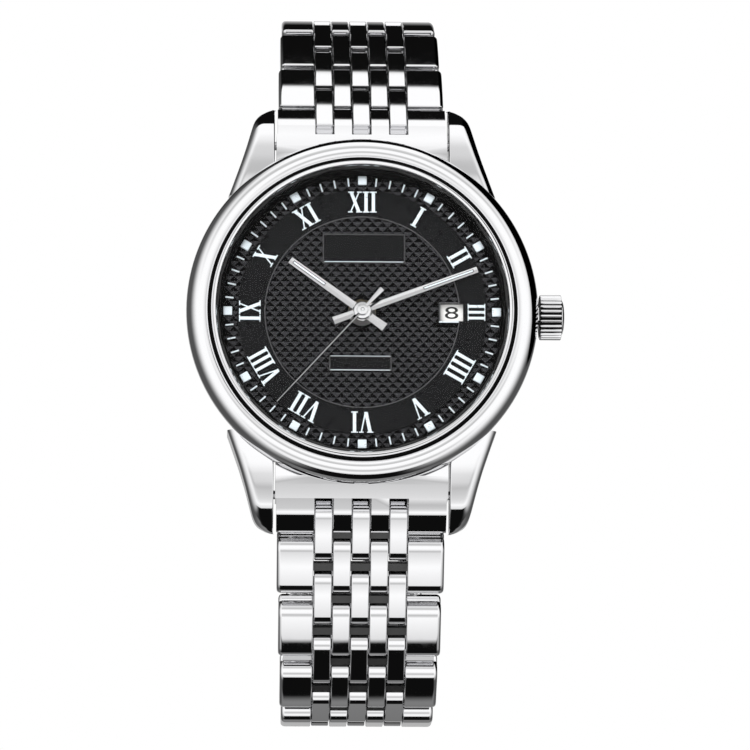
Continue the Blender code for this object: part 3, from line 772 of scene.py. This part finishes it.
def make_row(hour, number):
    """A row's polished blocks, and the pin and web between them in a darker grey: painted shade of the gaps.
    """
    name = "row_%d_%02d" % (hour, number)
    wide = number % 2 == 0
    near, along, half_width = row_axis(name, "bend_%d_%02d" % (hour, number))
    pitch = along.length / MM
    move = Matrix.Translation(near) @ Matrix.Rotation(atan2(-along.y, along.z), 4, "X")
    spans, end_r = (wide_columns(half_width), 1.44) if wide else (columns((-2, 0, 2)), 1.36)
    lead = 0.0 if number == 1 else 0.34
    shape = bmesh.new()
    for x0, x1 in spans:
        outer = (x0 >= OUTER_COLUMN_IN) - (x1 <= -OUTER_COLUMN_IN)
        block(shape, x0, x1, end_r, pitch, move, outer, lead, number == ROWS)
    web_reach = half_width - 0.8 if wide else OUTER_COLUMN_IN - 0.1
    pin_reach = half_width - 0.6 if wide else OUTER_COLUMN_IN + 0.4
    web = arc(0.1, pitch / 2, 0.45, 90, 270, 8) + [(0.8, pitch / 2 - 0.45), (0.8, pitch / 2 + 0.45)]
    pin = disc(0, pitch, 0.55, 16)
    parts = [(pin, -pin_reach, pin_reach, "X", move), (web, -web_reach, web_reach, "X", move)]
    # The pin and web in dark grey: painted shade between the blocks
    painted_shade_core = prisms(name + "_core_painted_shade", parts, LINK_PAINTED_SHADE)
    made = join(name + "_links", [object_from(name + "_blocks", shape, STEEL, 40.0), painted_shade_core])
    place(made, name, "polished_steel", name)


def make_bracelet():
    for hour in (12, 6):
        for number in range(1, ROWS + 1):
            make_row(hour, number)
        make_end_link(hour)


def make_end_link(hour):
    """Solid end link: a curved shoulder against the case and four rounded fingers."""
    pin = Vector(JOINTS["bend_%d_01" % hour]["pos_m"]) / MM
    pin_z = abs(pin.z)
    turn = Matrix.Rotation(0.0 if hour == 12 else pi, 4, "Y")

    plan = arc(0, 0, 19.55, 120, 60, 28) + [(9.8, 21.2), (-9.8, 21.2)]
    body = prisms("end_link_%d_shape" % hour, [(plan, 0.9, 6.1, "Y", turn)], STEEL)
    side = [(-6.6, 16.0), (-6.35, 18.0), (-5.8, 19.7), (-5.15, 21.2), (-4.78, 22.3), (-4.65, 22.6),
            (-0.6, 22.6), (-0.6, 16.0)]
    boolean(body, prisms("side", [(side, -12, 12, "X", turn)], STEEL), "INTERSECT")
    nose = [(-1.0, 20.4)] + arc(pin.y, pin_z, 1.44, 0, 84, 8)
    nose += [(-2.45, 24.7), (-2.7, 24.7), (-2.92, 24.6), (-3.7, 23.82), (-4.38, 23.05), (-4.6, 22.75),
             (-4.78, 22.3), (-5.15, 21.2), (-5.3, 20.4)]
    fingers = [(nose, x0, x1, "X", turn) for x0, x1 in wide_columns(END_LINK_HALF)]
    boolean(body, prisms("fingers", fingers, STEEL), "UNION", True)
    scoops = []
    for x0, x1 in columns((-2, 0, 2), COLUMN_HALF + 0.06):
        scoops.append((disc(pin.y, pin_z, 1.5, 40), x0, x1, "X", turn))
        notch = arc(x0 + 0.35, 22.72, 0.35, 180, 270, 5) + arc(x1 - 0.35, 22.72, 0.35, 270, 360, 5)
        scoops.append((notch + [(x1, 24.0), (x0, 24.0)], 2.5, 7.0, "Y", turn))
    boolean(body, prisms("scoops", scoops, STEEL), "DIFFERENCE", True)
    apply_modifiers(body, 20.0)
    place(body, "case", "polished_steel", "end_link_%d" % hour)


# ---------------------------------------------------------------- clasp, and what stays from the frame

def refined(node, finish, width):
    """The node's own solid with rounded edges."""
    shape = bmesh.new()
    shape.from_mesh(frame["nodes"][node].data)
    bmesh.ops.remove_doubles(shape, verts=shape.verts, dist=0.002 * MM)
    bmesh.ops.dissolve_limit(shape, angle_limit=radians(1.0), verts=shape.verts, edges=shape.edges)
    made = object_from(node + "_shape", shape, finish)
    bevelled(made, width, 3, 50.0)
    place(made, node, "polished_steel", node)


def make_clasp():
    for node, width in (("clasp_cover", 0.3), ("clasp_base_blade", 0.12), ("clasp_middle_blade", 0.12)):
        refined(node, BRUSHED, width)


def finish_frame_nodes():
    finishes = [(BRASS, ("main_plate", "mainspring_barrel", "balance_wheel")),
                (BRUSHED, ("train_bridge", "balance_cock", "rotor", "setting_lever", "winding_stem",
                           "spring_bar_12", "spring_bar_6")),
                (STEEL, ("crown_tube", "clasp_button_left", "clasp_button_right")),
                (NYLON, ("movement_ring",)),
                (RUBBER, ("case_back_gasket", "crystal_gasket"))]
    for finish, nodes in finishes:
        for node in nodes:
            data = frame["nodes"][node].data
            data.materials.clear()
            data.materials.append(finish)


# ---------------------------------------------------------------- stage

# What the steel reflects: brightness by direction in the upright plane through the dial's axis,
# as (degrees, brightness). 0 is straight in front of the dial, 90 above, -90 below.
STUDIO = [(-180, 0.03), (-176, 0.03), (-170, 0.15), (-109, 0.2), (-104, 0.004), (-64.5, 0.004),
          (-62, 0.75), (-46, 1.0), (-36, 0.7), (-26, 0.5), (-16, 0.85), (-8, 1.0), (15, 1.0), (30, 0.5),
          (46, 0.7), (58, 1.0), (92.5, 1.0), (94.5, 0.004), (150, 0.004), (180, 0.03)]


def make_floor():
    bpy.ops.mesh.primitive_plane_add(size=3.0, location=(0, 0, -0.16))
    floor = bpy.context.object
    floor.name = "floor"
    floor.visible_glossy = False
    floor.data.materials.append(new_material("floor_pale", (0.9, 0.9, 0.9), 0.0, 0.9))


def make_world():
    """An even white studio, where polished steel sees bright panels and dark gaps between them."""
    world = bpy.data.worlds.new("studio")
    bpy.context.scene.world = world
    world.use_nodes = True
    nodes, links = world.node_tree.nodes, world.node_tree.links
    nodes.clear()
    direction = nodes.new("ShaderNodeTexCoord").outputs["Generated"]

    def calc(operation, a, b=None):
        made = nodes.new("ShaderNodeMath")
        made.operation = operation
        for socket, value in zip(made.inputs, (a, b)):
            if isinstance(value, (int, float)):
                socket.default_value = value
            elif value is not None:
                links.new(value, socket)
        return made.outputs[0]

    def smooth_step(value, start, end, low=0.0, high=1.0):
        made = nodes.new("ShaderNodeMapRange")
        made.interpolation_type = "SMOOTHSTEP"
        for name, number in (("From Min", start), ("From Max", end), ("To Min", low), ("To Max", high)):
            made.inputs[name].default_value = number
        links.new(value, made.inputs["Value"])
        return made.outputs["Result"]

    def facing(axis, start, end):
        """0 below the first cosine to an axis and 1 above the second."""
        dot = nodes.new("ShaderNodeVectorMath")
        dot.operation = "DOT_PRODUCT"
        dot.inputs[1].default_value = Vector(axis).normalized()
        links.new(direction, dot.inputs[0])
        return smooth_step(dot.outputs["Value"], start, end)

    def background(strength):
        made = nodes.new("ShaderNodeBackground")
        made.inputs["Color"].default_value = (1, 1, 1, 1)
        made.inputs["Strength"].default_value = strength
        return made

    axes = nodes.new("ShaderNodeSeparateXYZ")
    links.new(direction, axes.inputs[0])
    angle = calc("ARCTAN2", axes.outputs["Z"], calc("MULTIPLY", axes.outputs["Y"], -1.0))
    ramp = nodes.new("ShaderNodeValToRGB")
    links.new(calc("ADD", calc("DIVIDE", angle, 2 * pi), 0.5), ramp.inputs["Fac"])
    elements = ramp.color_ramp.elements
    while len(elements) < len(STUDIO):
        elements.new(0.5)
    for element, (degree, value) in zip(elements, STUDIO):
        element.position = (degree + 180) / 360
        element.color = (value, value, value, 1)

    # Towards the crown and its opposite side it darkens, more so behind the dial
    mixed = nodes.new("ShaderNodeMix")
    links.new(smooth_step(calc("ABSOLUTE", axes.outputs["X"]), 0.25, 0.65), mixed.inputs["Factor"])
    links.new(ramp.outputs["Color"], mixed.inputs["A"])
    links.new(smooth_step(axes.outputs["Y"], -0.9, 0.3, 1.0, 0.08), mixed.inputs["B"])
    dark_panel = facing((0.79, 0.28, 0.54), 0.76, 0.8)
    lit = calc("MULTIPLY", mixed.outputs["Result"], calc("SUBTRACT", 1.0, dark_panel))
    grey_behind = calc("MULTIPLY", facing((0, 1, 0), 0.8, 0.97), 0.42)
    reflected = background(1.15)
    links.new(calc("MAXIMUM", lit, grey_behind), reflected.inputs["Color"])

    path = nodes.new("ShaderNodeLightPath")
    mix = nodes.new("ShaderNodeMixShader")
    even = calc("MAXIMUM", path.outputs["Is Camera Ray"], path.outputs["Is Diffuse Ray"])
    links.new(even, mix.inputs["Fac"])
    links.new(reflected.outputs[0], mix.inputs[1])
    links.new(background(1.0).outputs[0], mix.inputs[2])
    links.new(mix.outputs[0], nodes.new("ShaderNodeOutputWorld").inputs["Surface"])


def make_key_light():
    """A soft light from the upper left, which isn't seen in the steel."""
    data = bpy.data.lights.new("key", "AREA")
    data.shape = "RECTANGLE"
    data.size, data.size_y = 0.5, 0.5
    data.energy = 6.0
    made = bpy.data.objects.new("key", data)
    bpy.context.scene.collection.objects.link(made)
    made.location = (-0.25, -0.55, 0.45)
    made.rotation_euler = (-Vector(made.location)).to_track_quat("-Z", "Y").to_euler()
    made.visible_glossy = False


def make_camera():
    """Below the dial's axis and a little left of it, at the distance that gives the perspective."""
    elevation, side, distance = radians(11.0), radians(1.8), 0.52
    view_width = 85.1 * MM
    back = Vector((-sin(side) * cos(elevation), -cos(side) * cos(elevation), -sin(elevation)))
    right = Vector((0, 0, 1)).cross(back).normalized()
    up = back.cross(right)
    aim = (Vector((0, -8.0, 0)) + right * 1.42 - up * 7.38) * MM
    data = bpy.data.cameras.new("camera")
    data.sensor_width = 36.0
    data.lens = data.sensor_width * distance / view_width
    made = bpy.data.objects.new("camera", data)
    bpy.context.scene.collection.objects.link(made)
    rotation = Matrix((right, up, back)).transposed().to_4x4()
    made.matrix_world = Matrix.Translation(aim + back * distance) @ rotation
    bpy.context.scene.camera = made


make_case()
make_bezel()
make_crystal()
make_rehaut()
make_case_back()
make_dial()
make_hands()
make_crown()
make_bracelet()
make_clasp()
finish_frame_nodes()
make_floor()
make_world()
make_key_light()
make_camera()
bpy.context.scene.view_settings.view_transform = "Standard"
